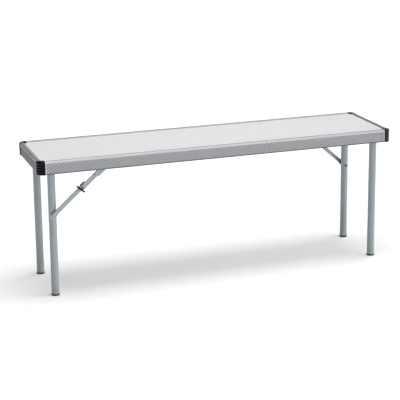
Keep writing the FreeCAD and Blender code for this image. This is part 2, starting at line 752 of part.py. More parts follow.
def make_hanger(label):
    """From the bracket pin at the origin along local X down to its square end."""
    body = new_body(label)
    bar = new_sketch(body, "Bar", "XZ_Plane")
    tail = -cell("hangerTail")
    chamfer = cell("hangerChamfer")
    high = cell("hangerShift") - cell("hangerWidth") / 2
    low = cell("hangerShift") + cell("hangerWidth") / 2
    add_polygon(bar, [(tail + chamfer, high), (cell("hangerLength"), high), (cell("hangerLength"), low),
                      (tail + chamfer, low), (tail, low - chamfer), (tail, high + chamfer)])
    pad(body, bar, "BarPad", cell("upperThick"))
    lap = new_sketch(body, "Lap", "XZ_Plane")
    wide = cell("hangerWidth")
    start = cell("hangerLength") - cell("lapLength")
    add_rectangle(lap, start, start + cell("lapLength") * 2, -wide, wide)
    cut(body, lap, "LapCut", cell("upperThick") / 2, reverse=True)
    hole = new_sketch(body, "PinHole", "XZ_Plane")
    add_circle(hole, zero, zero, cell("bracketPin") / 2 + cell("pinGap"))
    cut(body, hole, "PinCut", cell("upperThick") * 3, middle=True)
    sink = new_sketch(body, "Sink", "XZ_Plane")
    add_circle(sink, zero, zero, cell("pinHead") / 2 + cell("pinGap"))
    cut(body, sink, "SinkCut", cell("pinHeadThick") + cell("pinGap") * 2, reverse=True)
    return body


def make_knuckle_rivet(label):
    body = new_body(label)
    head = cell("rivetHead") / 2
    shank = cell("pinSize") / 2
    top = cell("rivetHeadThick")
    out = -(upper_outer - lower_inner)
    profile = new_sketch(body, "Profile", "XY_Plane")
    add_polygon(profile, [(zero, top), (head, top), (head, zero), (shank, zero), (shank, out),
                          (head, out), (head, out - top), (zero, out - top)])
    turn_solid(body, profile, "Turned")
    return body


def make_lock_ring(label):
    """A flat ring across both arms, with the pivot line through its origin."""
    body = new_body(label)
    gap = cell("ringGap")
    wall = cell("ringWall")
    far = -(upper_outer - lower_inner + gap)
    upper_edge = cell("lowerShift") + cell("lowerWidth") / 2 + gap
    lower_edge = -(cell("upperWidth") / 2 + cell("ringFree"))
    plate = new_sketch(body, "Plate", "YZ_Plane")
    add_rectangle(plate, far - wall, gap + wall, -cell("ringBelow"), cell("ringAbove"))
    pad(body, plate, "PlatePad", cell("ringThick"), middle=True)

    def wanted(middle, edge):
        high = abs(middle.z - cell("ringAbove").value) < 1e-6
        low = abs(middle.z + cell("ringBelow").value) < 1e-6
        near = abs(middle.y - (gap + wall).value) < 1e-6
        outside = abs(middle.y - (far - wall).value) < 1e-6
        return (high or low) and (near or outside)

    round_edges(body, "Corners", cell("ringRound"), wanted)
    window = new_sketch(body, "Window", "YZ_Plane")
    add_rectangle(window, far, gap, lower_edge, upper_edge)
    cut(body, window, "WindowCut", cell("ringThick") * 3, middle=True)
    return body


def make_bracket(label):
    """An ear against the rail and a foot under the seat board, the pin at the origin."""
    body = new_body(label)
    left = -cell("earLeft")
    right = cell("earRight")
    bottom = -cell("earBottom")
    ear = new_sketch(body, "Ear", "XZ_Plane")
    add_rectangle(ear, left, right, bottom, block_top)
    pad(body, ear, "EarPad", inner_y - upper_outer - cell("earGap"), reverse=True)

    def wanted(middle, edge):
        return abs(middle.z - bottom.value) < 1e-6 and abs(middle.x - left.value) < 1e-6

    round_edges(body, "EarRound", cell("earBottom") - 0.1, wanted)
    foot = new_sketch(body, "Foot", "XY_Plane", block_top - cell("bracketThick"))
    add_rectangle(foot, left, left + cell("bracketLength"), zero, cell("bracketDepth"))
    pad(body, foot, "FootPad", cell("bracketThick"))
    hole = new_sketch(body, "PinHole", "XZ_Plane")
    add_circle(hole, zero, zero, cell("bracketPin") / 2)
    cut(body, hole, "PinCut", cell("bracketDepth"), middle=True)
    return body


def make_bracket_pin(label):
    """From the rail's face in to a head sunk in the hanger."""
    body = new_body(label)
    shank = cell("bracketPin") / 2
    head = cell("pinHead") / 2
    tip = inner_y - upper_inner - cell("pinGap")
    neck = tip - cell("pinHeadThick")
    profile = new_sketch(body, "Profile", "XY_Plane")
    add_polygon(profile, [(zero, zero), (shank, zero), (shank, neck), (head, neck),
                          (head, tip), (zero, tip)])
    turn_solid(body, profile, "Turned")
    return body


along_stay = [(Y_AXIS, -stay_angle)]
down_stay = [(Y_AXIS, 180 - stay_angle)]
bolt_z = hinge_z - cell("stayDrop")

# The left side's names say front where the right side's say back: the stay is beside the near leg
for side, near, far_leg in (("left", "front", "back"), ("right", "back", "front")):
    for depth_name, turns, across in ((near, [], -inner_y), (far_leg, [(Z_AXIS, 180)], inner_y)):
        name = "%s_%s" % (depth_name, side)
        place_half(make_block(name + "_hinge_block"), side, -leg_x, across, hinge_z, turns)
        place_half(make_bush(name + "_hinge_bush"), side, -leg_x, across, hinge_z, turns)
    for depth_name, across in ((near, -leg_y), (far_leg, leg_y)):
        name = "%s_%s" % (depth_name, side)
        place_half(make_leg(name + "_leg", depth_name == near), side, -leg_x, across, cell("shoeHeight"))
        place_half(make_shoe(name + "_foot"), side, -leg_x, across, zero)
    place_half(make_hinge_tube(side + "_hinge_tube"), side, -leg_x, zero, hinge_z)
    place_half(make_bolt(side + "_stay_bolt"), side, -leg_x, -leg_y, bolt_z)
    place_half(make_spacer(side + "_stay_spacer"), side, -leg_x, -leg_y, bolt_z)
    for make_piece, kind, layer in ((make_lower_arm, "_stay_lower_arm", lower_inner),
                                    (make_foot_rivet, "_stay_foot_rivet", lower_inner),
                                    (make_knuckle_rivet, "_knuckle_rivet", lower_inner),
                                    (make_upper_arm, "_stay_upper_arm", upper_inner)):
        place_half(make_piece(side + kind), side, knuckle_x, -layer, knuckle_z, along_stay)
    place_half(make_lock_ring(side + "_lock_ring"), side, ring_x, -lower_inner, ring_z, along_stay)
    place_half(make_hanger(side + "_stay_hanger"), side, bracket_x, -upper_inner, hinge_z, down_stay)
    place_half(make_bracket(side + "_stay_bracket"), side, bracket_x, -inner_y, hinge_z)
    place_half(make_bracket_pin(side + "_bracket_pin"), side, bracket_x, -inner_y, hinge_z)

doc.recompute()
for item in doc.Objects:
    if "Invalid" in item.State or "Error" in item.State:
        raise RuntimeError("%s is not sound" % item.Label)
for body in made:
    shape = body.Shape
    if shape.isNull() or not shape.isValid() or len(shape.Solids) != 1:
        raise RuntimeError("%s is not one sound solid" % body.Label)
    shape.exportStep("parts/%s.step" % body.Label)
print("%d parts written" % len(made))
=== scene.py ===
import math

import bmesh
import bpy
from mathutils import Matrix, Vector
from mathutils.noise import noise as smoothNoise


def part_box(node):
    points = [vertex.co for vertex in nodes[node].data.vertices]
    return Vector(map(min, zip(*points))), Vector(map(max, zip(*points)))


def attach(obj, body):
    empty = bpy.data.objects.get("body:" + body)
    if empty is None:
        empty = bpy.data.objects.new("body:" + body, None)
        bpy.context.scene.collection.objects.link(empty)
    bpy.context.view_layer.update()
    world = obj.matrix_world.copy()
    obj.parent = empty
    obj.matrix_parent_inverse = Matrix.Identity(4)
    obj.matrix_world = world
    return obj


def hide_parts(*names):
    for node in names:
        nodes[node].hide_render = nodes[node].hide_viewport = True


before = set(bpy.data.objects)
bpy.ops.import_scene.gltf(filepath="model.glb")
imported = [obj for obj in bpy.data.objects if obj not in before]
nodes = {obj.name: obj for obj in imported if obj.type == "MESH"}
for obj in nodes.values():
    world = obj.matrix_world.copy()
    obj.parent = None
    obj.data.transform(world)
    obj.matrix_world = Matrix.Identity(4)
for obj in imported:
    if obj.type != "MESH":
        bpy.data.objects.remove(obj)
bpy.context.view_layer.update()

# Folding bench: white top in a grooved aluminium frame, black corner caps, painted fold-in legs and
# locking stays with red rings. Metres, the CAD's frame: X along the bench, Y across it, Z up.

cadNames = list(nodes)


def named(*endings):
    # The CAD nodes whose names end in one of these words.
    return [name for name in cadNames if name.endswith(endings)]


# Shader building

def newMaterial(name):
    material = bpy.data.materials.new(name)
    material.use_nodes = True
    tree = material.node_tree
    tree.nodes.clear()
    shader = tree.nodes.new("ShaderNodeBsdfPrincipled")
    output = tree.nodes.new("ShaderNodeOutputMaterial")
    tree.links.new(shader.outputs["BSDF"], output.inputs["Surface"])
    return material, tree, shader


def newGroup(name, inputs, outputs):
    # A shader group with named sockets: each input is (name, kind, default), each output (name, kind).
    group = bpy.data.node_groups.new(name, "ShaderNodeTree")
    for label, kind, default in inputs:
        socket = group.interface.new_socket(label, in_out="INPUT", socket_type="NodeSocket" + kind)
        socket.default_value = default
    for label, kind in outputs:
        group.interface.new_socket(label, in_out="OUTPUT", socket_type="NodeSocket" + kind)
    start = group.nodes.new("NodeGroupInput")
    end = group.nodes.new("NodeGroupOutput")
    return group, start, end


def addMath(tree, operation, first, second):
    node = tree.nodes.new("ShaderNodeMath")
    node.operation = operation
    for socket, value in zip(node.inputs, (first, second)):
        if isinstance(value, (int, float)):
            socket.default_value = value
        else:
            tree.links.new(value, socket)
    return node.outputs[0]


def addNoise(tree, vector, scale, detail=3.0, roughness=0.5):
    node = tree.nodes.new("ShaderNodeTexNoise")
    node.inputs["Detail"].default_value = detail
    node.inputs["Roughness"].default_value = roughness
    tree.links.new(vector, node.inputs["Vector"])
    if isinstance(scale, (int, float)):
        node.inputs["Scale"].default_value = scale
    else:
        tree.links.new(scale, node.inputs["Scale"])
    return node.outputs["Fac"]


def buildBrushedGroup():
    # Fine streaks along one direction: colour, roughness and bump height.
    group, start, end = newGroup(
        "BrushedMetal",
        [("Colour", "Color", (0.6, 0.6, 0.6, 1)), ("Stretch", "Vector", (4, 900, 900)),
         ("Shade Change", "Float", 0.06), ("Roughness", "Float", 0.35), ("Roughness Change", "Float", 0.12)],
        [("Colour", "Color"), ("Roughness", "Float"), ("Height", "Float")])
    place = group.nodes.new("ShaderNodeTexCoord")
    scaled = group.nodes.new("ShaderNodeVectorMath")
    scaled.operation = "MULTIPLY"
    group.links.new(place.outputs["Object"], scaled.inputs[0])
    group.links.new(start.outputs["Stretch"], scaled.inputs[1])
    streak = addNoise(group, scaled.outputs[0], 1.0, detail=4.0, roughness=0.6)
    cloud = addNoise(group, place.outputs["Object"], 14.0, detail=2.0)
    shift = addMath(group, "SUBTRACT", streak, 0.5)
    change = addMath(group, "MULTIPLY", shift, start.outputs["Shade Change"])
    broad = addMath(group, "SUBTRACT", cloud, 0.5)
    broad = addMath(group, "MULTIPLY", broad, start.outputs["Shade Change"])
    value = addMath(group, "ADD", addMath(group, "ADD", change, broad), 1.0)
    shade = group.nodes.new("ShaderNodeHueSaturation")
    group.links.new(start.outputs["Colour"], shade.inputs["Color"])
    group.links.new(value, shade.inputs["Value"])
    group.links.new(shade.outputs["Color"], end.inputs["Colour"])
    rough = addMath(group, "MULTIPLY", shift, start.outputs["Roughness Change"])
    rough = addMath(group, "ADD", rough, start.outputs["Roughness"])
    group.links.new(rough, end.inputs["Roughness"])
    group.links.new(streak, end.inputs["Height"])
    return group


def buildGrainGroup():
    # An even fine grain with a slow change of shade: for paint, plastic, rubber and laminate.
    group, start, end = newGroup(
        "FineGrain",
        [("Colour", "Color", (0.5, 0.5, 0.5, 1)), ("Grain Size", "Float", 900.0),
         ("Shade Change", "Float", 0.05), ("Roughness", "Float", 0.4), ("Roughness Change", "Float", 0.1)],
        [("Colour", "Color"), ("Roughness", "Float"), ("Height", "Float")])
    place = group.nodes.new("ShaderNodeTexCoord")
    fine = addNoise(group, place.outputs["Object"], start.outputs["Grain Size"], detail=2.0)
    cloud = addNoise(group, place.outputs["Object"], 22.0, detail=3.0, roughness=0.55)
    shift = addMath(group, "SUBTRACT", cloud, 0.5)
    value = addMath(group, "MULTIPLY", shift, start.outputs["Shade Change"])
    value = addMath(group, "ADD", value, 1.0)
    shade = group.nodes.new("ShaderNodeHueSaturation")
    group.links.new(start.outputs["Colour"], shade.inputs["Color"])
    group.links.new(value, shade.inputs["Value"])
    group.links.new(shade.outputs["Color"], end.inputs["Colour"])
    rough = addMath(group, "MULTIPLY", shift, start.outputs["Roughness Change"])
    rough = addMath(group, "ADD", rough, start.outputs["Roughness"])
    group.links.new(rough, end.inputs["Roughness"])
    group.links.new(fine, end.inputs["Height"])
    return group


def buildSlantGroup():
    # Painted light and shade on a long rail: slanted light and dark bands across its ribs, a painted
    # highlight as a pale smooth band over them and painted shade along its lower edge. Heights are in metres
    # from the floor.
    driftAmount = 4.0    # how far the bands wander, in radians of their wave
    leastFade = 0.45     # the bands never fade out altogether
    group, start, end = newGroup(
        "RailPaintedLightAndShade",
        [("Colour", "Color", (0.6, 0.6, 0.6, 1)), ("Bands", "Vector", (410.0, 0.0, -620.0)),
         ("Depth", "Float", 0.22), ("Rib Top", "Float", 0.444), ("Band Top", "Float", 0.4484),
         ("Lip Highlight", "Float", 0.2), ("Edge Height", "Float", 0.4118), ("Edge Shade", "Float", 0.7)],
        [("Colour", "Color")])
    place = group.nodes.new("ShaderNodeTexCoord")
    along = group.nodes.new("ShaderNodeVectorMath")
    along.operation = "DOT_PRODUCT"
    group.links.new(place.outputs["Object"], along.inputs[0])
    group.links.new(start.outputs["Bands"], along.inputs[1])
    # painted light and shade: slanted bands standing in for how the fine ribs catch the light
    drift = addNoise(group, place.outputs["Object"], 9.0, detail=2.0)
    phase = addMath(group, "ADD", along.outputs["Value"], addMath(group, "MULTIPLY", drift, driftAmount))
    wave = addMath(group, "SINE", phase, 0.0)
    fade = addNoise(group, place.outputs["Object"], 16.0, detail=1.0)
    fade = addMath(group, "ADD", fade, leastFade)
    strength = addMath(group, "MULTIPLY", fade, start.outputs["Depth"])
    parts = group.nodes.new("ShaderNodeSeparateXYZ")
    group.links.new(place.outputs["Object"], parts.inputs["Vector"])
    height = parts.outputs["Z"]
    ribbed = addMath(group, "LESS_THAN", height, start.outputs["Rib Top"])
    bands = addMath(group, "MULTIPLY", addMath(group, "MULTIPLY", wave, strength), ribbed)
    # painted highlight: the smooth band above the ribs is made paler
    under = addMath(group, "LESS_THAN", height, start.outputs["Band Top"])
    smooth = addMath(group, "MULTIPLY", under, addMath(group, "SUBTRACT", 1.0, ribbed))
    lift = addMath(group, "MULTIPLY", smooth, start.outputs["Lip Highlight"])
    value = addMath(group, "ADD", addMath(group, "ADD", bands, lift), 1.0)
    # painted shade: darker along the lower edge
    lower = addMath(group, "LESS_THAN", height, start.outputs["Edge Height"])
    darker = addMath(group, "MULTIPLY", lower, start.outputs["Edge Shade"])
    value = addMath(group, "MULTIPLY", value, addMath(group, "SUBTRACT", 1.0, darker))
    shade = group.nodes.new("ShaderNodeHueSaturation")
    group.links.new(start.outputs["Colour"], shade.inputs["Color"])
    group.links.new(value, shade.inputs["Value"])
    group.links.new(shade.outputs["Color"], end.inputs["Colour"])
    return group


brushedGroup = buildBrushedGroup()
grainGroup = buildGrainGroup()
slantGroup = buildSlantGroup()


def groupMaterial(name, group, values, metallic=0.0, bump=0.1, depth=0.0002, coat=0.0, specular=0.5):
    # A material whose colour, roughness and bump come from one of the groups.
    material, tree, shader = newMaterial(name)
    node = tree.nodes.new("ShaderNodeGroup")
    node.node_tree = group
    for label, value in values.items():
        node.inputs[label].default_value = value
    tree.links.new(node.outputs["Colour"], shader.inputs["Base Color"])
    tree.links.new(node.outputs["Roughness"], shader.inputs["Roughness"])
    raised = tree.nodes.new("ShaderNodeBump")
    raised.inputs["Strength"].default_value = bump
    raised.inputs["Distance"].default_value = depth
    tree.links.new(node.outputs["Height"], raised.inputs["Height"])
    tree.links.new(raised.outputs["Normal"], shader.inputs["Normal"])
    shader.inputs["Metallic"].default_value = metallic
    shader.inputs["Coat Weight"].default_value = coat
    shader.inputs["Coat Roughness"].default_value = 0.15
    shader.inputs["Specular IOR Level"].default_value = specular
    return material


def addSlant(material):
    # puts the painted light and shade (slanted bands, pale lip band, dark lower edge) between a material's
    # own colour and its shader
    tree = material.node_tree
    shader = [node for node in tree.nodes if node.type == "BSDF_PRINCIPLED"][0]
    colour = shader.inputs["Base Color"].links[0].from_socket
    node = tree.nodes.new("ShaderNodeGroup")
    node.node_tree = slantGroup
    tree.links.new(colour, node.inputs["Colour"])
    tree.links.new(node.outputs["Colour"], shader.inputs["Base Color"])
    return material


# Colours are linear; what a user would change is here
finishes = {
    "rail": {"Colour": (0.47, 0.48, 0.50, 1), "Stretch": (3, 700, 700), "Roughness": 0.6},
    "endRail": {"Colour": (0.50, 0.51, 0.53, 1), "Stretch": (700, 3, 700), "Roughness": 0.6},
    "connector": {"Colour": (0.56, 0.57, 0.59, 1), "Stretch": (300, 300, 30), "Roughness": 0.35},
    "legPaint": {"Colour": (0.352, 0.39, 0.415, 1), "Grain Size": 1400.0, "Roughness": 0.38},
    "stayPaint": {"Colour": (0.37, 0.41, 0.44, 1), "Grain Size": 1400.0, "Roughness": 0.36},
    "zinc": {"Colour": (0.42, 0.43, 0.42, 1), "Stretch": (120, 120, 120), "Roughness": 0.36},
    "darkZinc": {"Colour": (0.10, 0.10, 0.105, 1), "Stretch": (200, 200, 200), "Roughness": 0.38},
    "laminate": {"Colour": (0.77, 0.755, 0.76, 1), "Grain Size": 500.0, "Roughness": 0.42},
    "core": {"Colour": (0.45, 0.33, 0.21, 1), "Grain Size": 700.0, "Roughness": 0.8, "Shade Change": 0.25},
    "underSheet": {"Colour": (0.42, 0.42, 0.41, 1), "Grain Size": 260.0, "Roughness": 0.6},
    "cap": {"Colour": (0.0015, 0.0034, 0.0075, 1), "Grain Size": 1600.0, "Roughness": 0.3},
    "block": {"Colour": (0.016, 0.016, 0.017, 1), "Grain Size": 1200.0, "Roughness": 0.5},
    "nylon": {"Colour": (0.70, 0.69, 0.64, 1), "Grain Size": 900.0, "Roughness": 0.5},
    "rubber": {"Colour": (0.012, 0.012, 0.012, 1), "Grain Size": 800.0, "Roughness": 0.7},
    "red": {"Colour": (0.075, 0.0003, 0.0012, 1), "Grain Size": 900.0, "Roughness": 0.5},
    "screw": {"Colour": (0.45, 0.43, 0.38, 1), "Stretch": (900, 900, 900), "Roughness": 0.33},
    "weld": {"Colour": (0.30, 0.305, 0.31, 1), "Grain Size": 2200.0, "Roughness": 0.42},
    "seal": {"Colour": (0.06, 0.06, 0.062, 1), "Grain Size": 1500.0, "Roughness": 0.6},
}


def brushed(name, key, metallic, bump):
    return groupMaterial(name, brushedGroup, finishes[key], metallic=metallic, bump=bump)


def grained(name, key, **more):
    return groupMaterial(name, grainGroup, finishes[key], **more)


materials = {
    # the long rails carry painted light and shade: bands, a lip highlight and a shaded lower edge
    "rail": addSlant(brushed("RailAluminium", "rail", 0.85, 0.12)),
    "endRail": brushed("EndRailAluminium", "endRail", 0.85, 0.12),
    "connector": brushed("ConnectorAluminium", "connector", 0.8, 0.06),
    "legPaint": grained("LegPaint", "legPaint", metallic=0.25, bump=0.05, depth=0.0001, coat=0.15),
    "stayPaint": grained("StayPaint", "stayPaint", metallic=0.35, bump=0.05, depth=0.0001, coat=0.15),
    "zinc": brushed("BrightZinc", "zinc", 0.75, 0.1),
    "darkZinc": brushed("DarkZinc", "darkZinc", 0.7, 0.1),
    "laminate": grained("WhiteLaminate", "laminate", bump=0.05, depth=0.0001, specular=0.2),
    "core": grained("BoardCore", "core", bump=0.3),
    "underSheet": grained("UnderSheet", "underSheet", bump=0.25),
    "cap": grained("CapPlastic", "cap", bump=0.08, depth=0.0001, specular=0.22),
    "block": grained("BlockPlastic", "block", bump=0.15),
    "nylon": grained("BushNylon", "nylon", bump=0.1),
    "rubber": grained("FootRubber", "rubber", bump=0.3),
    "red": grained("RingRed", "red", bump=0.1, depth=0.0001, specular=0.1),
    "screw": brushed("ScrewZinc", "screw", 0.9, 0.1),
    "weld": grained("WeldPaint", "weld", metallic=0.5, bump=0.2, depth=0.0001, coat=0.2),
    "seal": grained("PanelSeal", "seal", bump=0.15),
}
print("materials:", len(materials))


def paint(piece, key):
    # gives every slot of an object one of the materials
    mesh = piece.data
    if len(mesh.materials) == 0:
        mesh.materials.append(materials[key])
    for index in range(len(mesh.materials)):
        mesh.materials[index] = materials[key]


carried = {
    "rail": ["front_rail", "back_rail"],
    "endRail": ["left_end_rail", "right_end_rail"],
    "connector": named("corner_connector"),
    "legPaint": named("_leg", "hinge_tube"),
    "stayPaint": named("stay_upper_arm", "stay_lower_arm", "stay_hanger"),
    "zinc": named("stay_bracket", "foot_rivet", "stay_spacer"),
    "darkZinc": named("knuckle_rivet", "stay_bolt", "bracket_pin"),
    "laminate": ["top_laminate"],
    "core": ["seat_board"],
    "underSheet": ["underside_sheet"],
    "cap": named("corner_cap"),
    "block": named("hinge_block"),
    "nylon": named("hinge_bush"),
    "rubber": named("_foot"),
    "red": named("lock_ring"),
}
for key, names in carried.items():
    for name in names:
        paint(nodes[name], key)
print("painted", sum(len(names) for names in carried.values()), "CAD nodes of", len(cadNames))


# Softened edges on the CAD pieces that stay: name ending, width of the bevel in metres
softEdges = {"stay_upper_arm": 0.0004, "stay_lower_arm": 0.0004, "stay_hanger": 0.0004,
             "stay_bracket": 0.0003, "hinge_block": 0.0006, "stay_spacer": 0.0002,
             "top_laminate": 0.0002, "foot_rivet": 0.0002}
softFrom = 50  # degrees between faces from which an edge is softened


def softenEdges():
    for ending, width in softEdges.items():
        for name in named(ending):
            bevel = nodes[name].modifiers.new("SoftEdge", "BEVEL")
            bevel.width = width
            bevel.segments = 2
            bevel.limit_method = "ANGLE"
            bevel.angle_limit = math.radians(softFrom)
            bevel.harden_normals = False


# Mesh building

def addPiece(name, vertices, faces, key, body, sharp=38):
    # one object from points and faces; edges over sharp degrees stay crisp
    mesh = bpy.data.meshes.new(name)
    mesh.from_pydata([tuple(point) for point in vertices], [], faces)
    mesh.validate()
    builder = bmesh.new()
    builder.from_mesh(mesh)
    bmesh.ops.recalc_face_normals(builder, faces=builder.faces)
    for face in builder.faces:
        face.smooth = True
    builder.to_mesh(mesh)
    builder.free()
    mesh.set_sharp_from_angle(angle=math.radians(sharp))
    piece = bpy.data.objects.new(name, mesh)
    bpy.context.collection.objects.link(piece)
    paint(piece, key)
    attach(piece, body)
    return piece


def lathe(profile, steps, sweep=360.0):
    # turns a profile of (radius, height) pairs about Z; a part turn gets a flat face at each end
    full = sweep >= 360.0
    rows = steps if full else steps + 1
    vertices = []
    for row in range(rows):
        angle = math.radians(sweep * row / steps)
        for radius, height in profile:
            vertices.append(Vector((radius * math.cos(angle), radius * math.sin(angle), height)))
    count = len(profile)
    faces = []
    for row in range(steps):
        after = (row + 1) % rows
        for i in range(count - 1):
            faces.append((row * count + i, after * count + i, after * count + i + 1, row * count + i + 1))
    if not full:
        faces.append(tuple(range(count)))
        faces.append(tuple(range((rows - 1) * count, rows * count)))
    return vertices, faces


def moved(vertices, place, direction=(0, 0, 1), spin=0.0):
    # turns local Z to a direction and puts the origin at a place
    turn = Vector((0, 0, 1)).rotation_difference(Vector(direction)).to_matrix()
    turn = turn @ Matrix.Rotation(math.radians(spin), 3, "Z")
    return [turn @ point + Vector(place) for point in vertices]


def joined(parts):
    # several (vertices, faces) pairs as one
    vertices = []
    faces = []
    for someVertices, someFaces in parts:
        start = len(vertices)
        vertices += list(someVertices)
        faces += [tuple(start + i for i in face) for face in someFaces]
    return vertices, faces


def bandFaces(rows, count, closed=False):
    # quads between rows of count points each; closed also joins the last row to the first
    faces = []
    for row in range(rows if closed else rows - 1):
        after = (row + 1) % rows
        for i in range(count):
            j = (i + 1) % count
            faces.append((row * count + i, row * count + j, after * count + j, after * count + i))
    return faces


def cappedFaces(rows, count):
    # the same with a flat face over the first and the last row
    caps = [tuple(range(count)), tuple(range((rows - 1) * count, rows * count))]
    return caps + bandFaces(rows, count)


def roundedLoop(low, high, corner, steps):
    # a rounded rectangle from its two opposite corners
    points = []
    spots = [(high[0] - corner, high[1] - corner, 0), (low[0] + corner, high[1] - corner, 90),
             (low[0] + corner, low[1] + corner, 180), (high[0] - corner, low[1] + corner, 270)]
    for x, y, start in spots:
        for i in range(steps + 1):
            turn = math.radians(start + 90 * i / steps)
            points.append((x + corner * math.cos(turn), y + corner * math.sin(turn)))
    return points


def middleOf(node):
    low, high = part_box(node)
    return (Vector(low) + Vector(high)) / 2


def sizeOf(node):
    low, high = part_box(node)
    return Vector(high) - Vector(low)


def faceOf(node, sideY):
    # the Y of the node's face on one side
    low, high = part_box(node)
    return low[1] if sideY < 0 else high[1]


def pieceName(start, ending):
    # front_left and Cap make FrontLeftCap
    return start.title().replace("_", "") + ending


def armDirections(start, end):
    # along an arm of the stay, and square to it with Z up
    along = Vector((end.x - start.x, 0, end.z - start.z)).normalized()
    upward = Vector((-along.z, 0, along.x)) if along.x > 0 else Vector((along.z, 0, -along.x))
    return along, upward


corners = {"front_left": (-1, -1), "front_right": (1, -1), "back_right": (1, 1), "back_left": (-1, 1)}
stays = {"left": -1, "right": 1}  # each stay and the side of Y it is on


def legsOf(sideX):
    return "left_legs" if sideX < 0 else "right_legs"


# Corner caps: round ribs that meet in deep grooves
capShape = {"reach": 0.025, "height": 0.042, "firstGroove": 0.005, "pitch": 0.0088, "grooves": 4,
            "grooveDepth": 0.0029, "topRound": 0.005, "foot": 0.0006, "footInset": 0.0008,
            "profileSteps": 76, "roundSteps": 7, "turnSteps": 32}


def capRadius(height):
    # reach of the cap at one height: full on the crown of a rib, falling in an arc to the grooves
    grooves = [capShape["firstGroove"] + capShape["pitch"] * i for i in range(capShape["grooves"])]
    nearest = min(abs(height - groove) for groove in grooves)
    share = max(0.0, 1 - nearest / (capShape["pitch"] / 2))
    return capShape["reach"] - capShape["grooveDepth"] * (1 - math.sqrt(1 - share ** 2))


def buildCaps():
    height = capShape["height"]
    edge = capShape["topRound"]
    foot = capShape["foot"]
    steps = capShape["profileSteps"]
    profile = [(0, 0), (capShape["reach"] - capShape["footInset"], 0)]
    for i in range(steps + 1):
        level = foot + (height - edge - foot) * i / steps
        profile.append((capRadius(level), level))
    for i in range(1, capShape["roundSteps"] + 1):
        turn = math.radians(90 * i / capShape["roundSteps"])
        level = height - edge + edge * math.sin(turn)
        profile.append((capShape["reach"] - edge + edge * math.cos(turn), level))
    profile.append((0, height))
    for corner, (sideX, sideY) in corners.items():
        node = corner + "_corner_cap"
        low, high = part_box(node)
        centre = Vector((low[0] if sideX > 0 else high[0], low[1] if sideY > 0 else high[1], low[2]))
        vertices, faces = lathe(profile, capShape["turnSteps"], sweep=90.0)
        vertices = [Vector((point.x * sideX, point.y * sideY, point.z)) + centre for point in vertices]
        piece = addPiece(pieceName(corner, "Cap"), vertices, faces, "cap", "bench", sharp=50)
        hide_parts(node)
    print("corner caps:", len(corners))


# Rubber feet: a rim under the tube, a shallow ring round the side and a treaded sole
def footProfile(rim):
    # (radius, height) pairs from the middle of the sole to the top of the plug
    sole = [(0.0, 0.0012), (0.003, 0.0012), (0.0034, 0.0), (0.0062, 0.0), (0.0066, 0.0012), (0.0086, 0.0012),
            (0.009, 0.0)]
    side = [(rim - 0.0022, 0.0), (rim - 0.0012, 0.0004), (rim - 0.0004, 0.0012), (rim, 0.0023),
            (rim - 0.0003, 0.003), (rim - 0.0003, 0.0036), (rim, 0.0042), (rim - 0.0002, 0.0052),
            (rim - 0.0006, 0.0057), (rim - 0.0012, 0.006)]
    plug = [(0.0109, 0.006), (0.0109, 0.027), (0.0104, 0.028), (0.0, 0.028)]
    return sole + side + plug


def buildFeet():
    for corner, (sideX, sideY) in corners.items():
        node = corner + "_foot"
        low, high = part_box(node)
        vertices, faces = lathe(footProfile((high[0] - low[0]) / 2), steps=48)
        centre = middleOf(node)
        piece = addPiece(pieceName(corner, "Foot"), moved(vertices, (centre.x, centre.y, low[2])), faces,
                         "rubber", legsOf(sideX))
        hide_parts(node)
    print("feet:", len(corners))


# Small round-headed screws with a cross recess: sizes as shares of the head's radius and height
screwShape = {"rings": 6, "steps": 24, "flat": 0.62, "crossReach": 0.825, "crossHalf": 0.11,
              "crossFloor": 0.35}


def screwMesh(radius, height):
    # head on local Z 0, its recess cut down from the crown
    rings = screwShape["rings"]
    steps = screwShape["steps"]
    flat = radius * screwShape["flat"]
    profile = [(radius, 0.0)]
    for i in range(1, rings + 1):
        turn = math.radians(90 * i / rings)
        profile.append((flat + (radius - flat) * math.cos(turn), height * math.sin(turn)))
    vertices, faces = lathe(profile, steps)
    arm = flat * screwShape["crossReach"]
    half = radius * screwShape["crossHalf"]
    cross = [(arm, -half), (arm, half), (half, half), (half, arm), (-half, arm), (-half, half), (-arm, half),
             (-arm, -half), (-half, -half), (-half, -arm), (half, -arm), (half, -half)]
    first = len(vertices)
    size = len(cross)
    for level in (height, height * screwShape["crossFloor"]):
        vertices += [Vector((x, y, level)) for x, y in cross]
    faces += [tuple(first + i for i in face) for face in bandFaces(2, size)]
    faces.append(tuple(first + size + i for i in range(size)))
    # the flat crown between the outer ring and the cross
    builder = bmesh.new()
    count = len(profile)
    ringPoints = [builder.verts.new(vertices[row * count + count - 1]) for row in range(steps)]
    crossPoints = [builder.verts.new(vertices[first + i]) for i in range(size)]
    edges = []
    for loop in (ringPoints, crossPoints):
        edges += [builder.edges.new((loop[i], loop[(i + 1) % len(loop)])) for i in range(len(loop))]
    builder.verts.index_update()
    bmesh.ops.triangle_fill(builder, edges=edges, use_beauty=True)
    crown = [[vertex.index for vertex in face.verts] for face in builder.faces]
    builder.free()
    for face in crown:
        faces.append(tuple(i * count + count - 1 if i < steps else first + i - steps for i in face))
    return vertices, faces


# Where the screws sit: in from the block's ends and under its flange, and along the bracket's flange
blockScrews = {"fromEnd": 0.0042, "flange": 0.003, "radius": 0.0031, "height": 0.0019}
bracketScrews = {"shares": {"A": 0.12, "B": 0.5, "C": 0.88}, "flange": 0.002, "inFromFace": 0.007,
                 "radius": 0.0036, "height": 0.0022}
firstSpin = 17.0  # each cross is turned by its own angle, in degrees
nextSpin = 37.0


